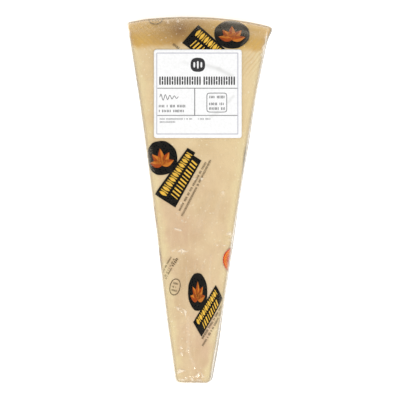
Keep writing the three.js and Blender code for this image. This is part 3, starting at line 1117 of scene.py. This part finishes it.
def paper_material(colours):
    """Smooth coated paper with a faint texture and soft grey shade over its shallow creases."""
    material, tree, inputs = new_material("label paper")
    fibres = mottle(tree, 0.9, 0.3, 0.7, 3, 51)
    sheet = mix_colours(tree, calc(tree, "MULTIPLY", fibres, 0.25), colours.paper, colours.paper_shade)
    shade = calc(tree, "MULTIPLY", point_mark(tree, "shade"), 0.8)
    tree.links.new(mix_colours(tree, shade, sheet, colours.paper_shade), inputs["Base Color"])
    tree.links.new(ramp(tree, fibres, 0, 1, 0.4, 0.55), inputs["Roughness"])
    add_bump(tree, inputs, fibres, 0.008)
    return material


def floor_material(settings):
    """A plain pale studio floor, lit a little from below as a light table is."""
    material, tree, inputs = new_material("studio floor", Roughness=0.9, Specular_IOR_Level=0.1)
    cloud = mottle(tree, 400, 0.3, 0.7, 1, 61)
    shaded = tuple(channel * 0.985 for channel in settings.floor)
    tree.links.new(mix_colours(tree, cloud, settings.floor, shaded), inputs["Base Color"])
    inputs["Emission Color"].default_value = (1.0, 1.0, 1.0, 1.0)
    inputs["Emission Strength"].default_value = settings.floor_glow
    return material


# Label


def label_height(x, y):
    """Height of the label's face: the paper dips a little between the film's creases."""
    dip = 0.5 + 0.5 * np.sin(x / 6.1 + 0.8 * np.sin(y / 7.3)) * np.cos(y / 8.7 + 1)
    return THICKNESS + LABEL_GAP + LABEL_THICKNESS - LABEL_RIPPLE * dip


def label_to_pack(points):
    """Points on the label, across and along it from its centre, as points on the pack."""
    x, y = points[:, 0], points[:, 1]
    turned_x = x * math.cos(LABEL_SKEW) - y * math.sin(LABEL_SKEW)
    turned_y = x * math.sin(LABEL_SKEW) + y * math.cos(LABEL_SKEW)
    return turned_x, turned_y + LABEL_FROM_NARROW_END - PACK_LENGTH / 2


def label_sheet():
    """The paper's points and quads, with the soft shade at each point."""
    lattice, quads = box_lattice((LABEL_CELLS, LABEL_CELLS, 1))
    x = (lattice[:, 0] / LABEL_CELLS - 0.5) * LABEL_WIDTH
    y = (lattice[:, 1] / LABEL_CELLS - 0.5) * LABEL_LENGTH
    corner_x = np.where(x < 0, -1, 1) * LABEL_WIDTH / 2
    corner_y = np.where(y < 0, -1, 1) * LABEL_LENGTH / 2
    x, y, _ = round_corners(x, y, corner_x, corner_y, LABEL_CORNER_RADIUS, np.zeros((len(x), 2)))
    shade = sum(strength * crease(x, y, *stroke) for *stroke, strength in PAPER_SHADES)
    z = label_height(x, y) - np.where(lattice[:, 2] == 0, LABEL_THICKNESS, 0)
    pack_x, pack_y = label_to_pack(np.stack([x, y], axis=1))
    return np.stack([pack_x, pack_y, z], axis=1), quads, {"shade": np.clip(shade, 0, 1)}


def label_print_shapes():
    """The label's print as flat shapes: lists of shapes by ink."""
    draw = random.Random(LABEL_PRINT_SEED)
    inks = {"dark": [], "grey": [], "frame": [], "light": []}
    left, right, low, high = -18.6, 18.1, -18.2, 18.4
    corners = [(left, low), (right, low), (right, high), (left, high)]
    for start, end in zip(corners, corners[1:] + corners[:1]):
        inks["frame"].append(band(path(start, end, 40), 0.5, closed=False))
    upper_rule, lower_rule, divider, box_x, mark_y = 2.5, -9.8, -1.4, 8.6, 13.1
    for y in (upper_rule, lower_rule):
        inks["grey"].append(band(path((-18.3, y), (18.0, y), 40), 0.34, closed=False))
    inks["grey"].append(band(path((divider, upper_rule), (divider, lower_rule), 16), 0.4, closed=False))
    inks["grey"].append(placed(band(oval(9.0, 8.6, 9, 96), 0.34), (box_x, -4.0)))

    # an oval mark with light bars
    inks["dark"].append(placed(fill(oval(6.6, 6.4, 2.6), 6), (0, mark_y)))
    for k in (-1, 0, 1):
        bar = fill(oval(0.8, 3.4 - 0.9 * abs(k), 3, 20), 2)
        inks["light"].append(placed(bar, (k * 1.6, mark_y)))

    # a heading of upright bars in two groups, some of them broken in two
    for start, count in ((-17.1, 17), (2.9, 13)):
        for k in range(count):
            x = start + k * 1.13
            pieces = ((0.95, 1.7), (2.95, 1.7)) if k % 4 == 1 else ((1.9, 3.8),)
            for middle, height in pieces:
                inks["dark"].append(placed(fill(oval(0.66, height, 7, 20)), (x, 4.0 + middle)))
    turns = np.linspace(0, 1, 90)
    wave_y = -1.6 + (1.5 - 1.1 * turns) * np.sin(turns * 26)
    wave = np.stack([-17.2 + 8.4 * turns, wave_y], axis=1)
    inks["dark"].append(band(wave, 0.26, closed=False))
    for y, length in ((-5.6, 11.8), (-7.8, 11.0)):
        inks["dark"] += [placed(s, (length / 2 - 17.6, y)) for s in strokes(length, 1.25, draw, 0.3)]
    for y, length in ((-1.5, 6.6), (-4.6, 6.8), (-6.7, 6.8)):
        inks["dark"] += [placed(s, (box_x, y)) for s in strokes(length, 1.3, draw, 0.3)]
    for y, x, length in ((-11.4, -10.0, 14.4), (-12.8, -13.6, 7.2), (-11.4, 2.8, 5.4)):
        inks["grey"] += [placed(s, (x, y)) for s in strokes(length, 0.8, draw, 0.18)]
    return inks


# What a user can change


def colour_property(name, description, default):
    limits = {"size": 3, "min": 0, "max": 1, "subtype": "COLOR"}
    return bpy.props.FloatVectorProperty(name=name, description=description, default=default, **limits)


def number_property(name, description, default, **limits):
    return bpy.props.FloatProperty(name=name, description=description, default=default, **limits)


class CheeseColours(bpy.types.PropertyGroup):
    """Colours of the cheese and its rind"""

    paste_light: colour_property("Light paste", "The paler patches of the cut face", srgb(219, 195, 156))
    paste_dark: colour_property("Dark paste", "The darker patches of the cut face", srgb(202, 175, 136))
    paste_pink: colour_property("Pinkish paste", "The faintly pink patches", srgb(209, 177, 146))
    paste_pale: colour_property("Pale paste", "The face near the rind and on the right", srgb(226, 204, 158))
    # partly paler cheese, partly painted highlight of the rounded edges
    edge_paste_and_highlight: colour_property("Edge paste", "The pale strips along both long edges", srgb(223, 204, 159))
    rind_light: colour_property("Light rind", "The rind's paler side", srgb(213, 173, 95))
    rind_dark: colour_property("Dark rind", "The rind's darker side and patches", srgb(189, 148, 81))
    rind_faded: colour_property("Faded rind", "The greyish middle of the rind", srgb(164, 130, 85))
    rind_stain: colour_property("Rind stain", "The brown stain on the rind", srgb(136, 99, 62))
    crystals: colour_property("Crystals", "The small pale specks", srgb(240, 230, 205))


class FilmSettings(bpy.types.PropertyGroup):
    """Film and its inks"""

    film_haze: number_property("Haze", "Milky share of the film", 0.001, min=0, max=1, subtype="FACTOR")
    film_cloudiness: number_property(
        "Cloudiness", "Haze added in patches", 0.006, min=0, max=1, subtype="FACTOR"
    )
    # the cream of the milky film is also the colour of the painted glints
    film_tint: colour_property("Film tint", "Colour of the film where it is milky", srgb(253, 238, 212))
    # grey of the dull film, a painted shade
    dull_shade_tint: colour_property("Dull tint", "Colour of the film at seam and sides", srgb(182, 177, 170))
    dark: colour_property("Dark ink", "Grounds of the print", srgb(16, 18, 20))
    amber: colour_property("Amber ink", "Light halves of the leaves", srgb(206, 122, 44))
    yellow: colour_property("Yellow ink", "Motifs on the bars", srgb(240, 192, 76))
    orange: colour_property("Orange ink", "Dark halves of the leaves", srgb(168, 74, 28))
    seal: colour_property("Seal ink", "Field of the round seals", srgb(240, 132, 26))
    red: colour_property("Red ink", "Heart, ticks and rim of the seals", srgb(206, 44, 30))
    fine: colour_property("Fine print ink", "Rows of small strokes", srgb(104, 86, 64))


class LabelColours(bpy.types.PropertyGroup):
    """Paper and its inks"""

    paper: colour_property("Paper", "The label's paper", srgb(245, 245, 245))
    paper_shade: colour_property("Paper shade", "Soft shade on the paper", srgb(214, 214, 212))
    dark: colour_property("Black ink", "Heading, mark and rows", srgb(24, 24, 26))
    grey: colour_property("Grey ink", "Rules and small rows", srgb(110, 110, 112))
    frame: colour_property("Frame ink", "The thin line round the print", srgb(200, 200, 208))
    light: colour_property("Light bars", "Bars on the oval mark", srgb(236, 236, 236))


class StageSettings(bpy.types.PropertyGroup):
    """Floor, lights and camera"""

    floor: colour_property("Floor", "Colour of the studio floor", srgb(249, 249, 249))
    floor_glow: number_property("Floor glow", "Light that the floor gives off itself", 0.45, min=0)
    sky: number_property("Sky light", "Brightness of the light from all round", 0.56, min=0)
    key_power: number_property("Key lamp power", "Power of the small lamp", 4.4, min=0, unit="POWER")
    key_size: number_property("Key lamp size", "Width of the small lamp", 0.3, min=0.01, unit="LENGTH")
    fill_power: number_property(
        "Fill lamp power", "Power of each large soft lamp", 2.7, min=0, unit="POWER"
    )
    fill_size: number_property(
        "Fill lamp size", "Width of each large soft lamp", 1.0, min=0.01, unit="LENGTH"
    )
    camera_height: number_property(
        "Camera height", "Height above the floor", CAMERA_HEIGHT, unit="LENGTH"
    )


class CHEESEPACK_OT_cheese(bpy.types.Operator):
    """Make the cheese wedge inside the film"""

    bl_idname = "cheesepack.cheese"
    bl_label = "Cheese"

    def execute(self, context):
        points, quads, marks = cheese_skin()
        piece = make_piece("cheese", points, quads, marks)
        finish_piece(piece, cheese_material(context.scene.cheese_colours), "cheese", "wrapped_wedge")
        return {"FINISHED"}


class CHEESEPACK_OT_film(bpy.types.Operator):
    """Make the clear film round the cheese"""

    bl_idname = "cheesepack.film"
    bl_label = "Film"

    def execute(self, context):
        points, quads, marks = film_skin()
        piece = make_piece("film", points, quads, marks)
        finish_piece(piece, film_material(context.scene.film_settings), "clear_film", "wrapped_wedge")
        return {"FINISHED"}


class CHEESEPACK_OT_film_print(bpy.types.Operator):
    """Lay the print on the inside of the film"""

    bl_idname = "cheesepack.film_print"
    bl_label = "Film print"

    def execute(self, context):
        film = bpy.data.objects.get("film")
        if film is None:
            raise RuntimeError("the film has to be made before its print")
        corners = np.array([v.co for v in film.data.vertices]) / MM - (MIDLINE_X, 0, 0)
        skin = BVHTree.FromPolygons(corners.tolist(), [tuple(p.vertices) for p in film.data.polygons])
        settings = context.scene.film_settings
        looks = {
            "dark": ("dark_ink", GROUND_DEPTH),
            "amber": ("amber_ink", MOTIF_DEPTH),
            "yellow": ("amber_ink", MOTIF_DEPTH),
            "orange": ("amber_ink", MOTIF_DEPTH),
            "seal": ("red_ink", GROUND_DEPTH),
            "red": ("red_ink", MOTIF_DEPTH),
            "fine": ("dark_ink", MOTIF_DEPTH),
        }
        for ink, shapes in film_print_shapes().items():
            slot, depth = looks[ink]
            piece = make_piece("film_print_" + ink, *drape(joined(shapes), skin, depth))
            # the gloss over the ink is the film's own
            material = ink_material(ink + " film ink", tuple(getattr(settings, ink)), 0.0, 0.3, 0.25)
            finish_piece(piece, material, slot)
        return {"FINISHED"}


class CHEESEPACK_OT_label(bpy.types.Operator):
    """Make the paper label"""

    bl_idname = "cheesepack.label"
    bl_label = "Label"

    def execute(self, context):
        points, quads, marks = label_sheet()
        piece = make_piece("label_sheet", points, quads, marks)
        finish_piece(piece, paper_material(context.scene.label_colours), "label_paper", "label")
        return {"FINISHED"}


class CHEESEPACK_OT_label_print(bpy.types.Operator):
    """Print the label"""

    bl_idname = "cheesepack.label_print"
    bl_label = "Label print"

    def execute(self, context):
        colours = context.scene.label_colours
        for ink, shapes in label_print_shapes().items():
            flat_points, faces = joined(shapes)
            lift = LABEL_INK_LIFT * (2 if ink == "light" else 1)
            z = label_height(flat_points[:, 0], flat_points[:, 1]) + lift
            points = np.stack([*label_to_pack(flat_points), z], axis=1)
            piece = make_piece("label_print_" + ink, points, faces)
            material = ink_material(ink + " label ink", tuple(getattr(colours, ink)), 0.5, 0.5, 0.08)
            finish_piece(piece, material, "label_paper" if ink == "light" else "label_ink")
        return {"FINISHED"}


class CHEESEPACK_OT_stage(bpy.types.Operator):
    """Make the floor, the lights and the camera"""

    bl_idname = "cheesepack.stage"
    bl_label = "Stage"

    def execute(self, context):
        settings = context.scene.stage_settings
        lattice, quads = box_lattice((FLOOR_CELLS, FLOOR_CELLS, 1))
        across = (lattice[:, :2] / FLOOR_CELLS * 2 - 1) * FLOOR_HALF_SIZE
        points = np.column_stack([across, (lattice[:, 2] - 1) * FLOOR_THICKNESS - FLOOR_DROP])
        floor = make_piece("floor", points, quads)
        floor.data.materials.append(floor_material(settings))
        lamps = [(KEY_LAMP_PLACE, settings.key_size, settings.key_power)]
        lamps += [(place, settings.fill_size, settings.fill_power) for place in FILL_LAMP_PLACES]
        for place, size, power in lamps:
            data = bpy.data.lights.new("lamp", "AREA")
            data.size = size
            data.energy = power
            lamp = bpy.data.objects.new("lamp", data)
            lamp.location = place
            lamp.rotation_euler = (-Vector(place)).to_track_quat("-Z", "Y").to_euler()
            context.scene.collection.objects.link(lamp)
        world = bpy.data.worlds.new("studio")
        world.use_nodes = True
        background = world.node_tree.nodes["Background"].inputs
        background["Color"].default_value = (1.0, 1.0, 1.0, 1.0)
        background["Strength"].default_value = settings.sky
        context.scene.world = world
        context.scene.view_settings.view_transform = "Standard"
        data = bpy.data.cameras.new("camera")
        data.lens = CAMERA_LENS
        data.sensor_width = CAMERA_SENSOR
        camera = bpy.data.objects.new("camera", data)
        across = (MIDLINE_X + CAMERA_ACROSS) * MM
        camera.location = (across, (CAMERA_FROM_NARROW_END - PACK_LENGTH / 2) * MM, settings.camera_height)
        camera.rotation_euler = (0, 0, CAMERA_TURN)
        context.scene.collection.objects.link(camera)
        context.scene.camera = camera
        return {"FINISHED"}


OPERATORS = (
    CHEESEPACK_OT_cheese,
    CHEESEPACK_OT_film,
    CHEESEPACK_OT_film_print,
    CHEESEPACK_OT_label,
    CHEESEPACK_OT_label_print,
    CHEESEPACK_OT_stage,
)
SETTINGS = {
    "cheese_colours": CheeseColours,
    "film_settings": FilmSettings,
    "label_colours": LabelColours,
    "stage_settings": StageSettings,
}


class CHEESEPACK_PT_panel(bpy.types.Panel):
    """Makes the pieces of the pack and holds their settings"""

    bl_label = "Cheese pack"
    bl_idname = "CHEESEPACK_PT_panel"
    bl_space_type = "VIEW_3D"
    bl_region_type = "UI"
    bl_category = "Cheese pack"

    def draw(self, context):
        for operator in OPERATORS:
            self.layout.operator(operator.bl_idname)
        for name, group in SETTINGS.items():
            box = self.layout.box()
            box.label(text=group.__doc__)
            for key in group.__annotations__:
                box.prop(getattr(context.scene, name), key)


def register():
    for group in SETTINGS.values():
        bpy.utils.register_class(group)
    for name, group in SETTINGS.items():
        setattr(bpy.types.Scene, name, bpy.props.PointerProperty(type=group))
    for item in (*OPERATORS, CHEESEPACK_PT_panel):
        bpy.utils.register_class(item)


def unregister():
    for item in (*OPERATORS, CHEESEPACK_PT_panel):
        bpy.utils.unregister_class(item)
    for name, group in SETTINGS.items():
        delattr(bpy.types.Scene, name)
        bpy.utils.unregister_class(group)


def main():
    """Makes every piece in order."""
    register()
    for operator in OPERATORS:
        group, name = operator.bl_idname.split(".")
        getattr(getattr(bpy.ops, group), name)()


if __name__ == "__main__":
    main()
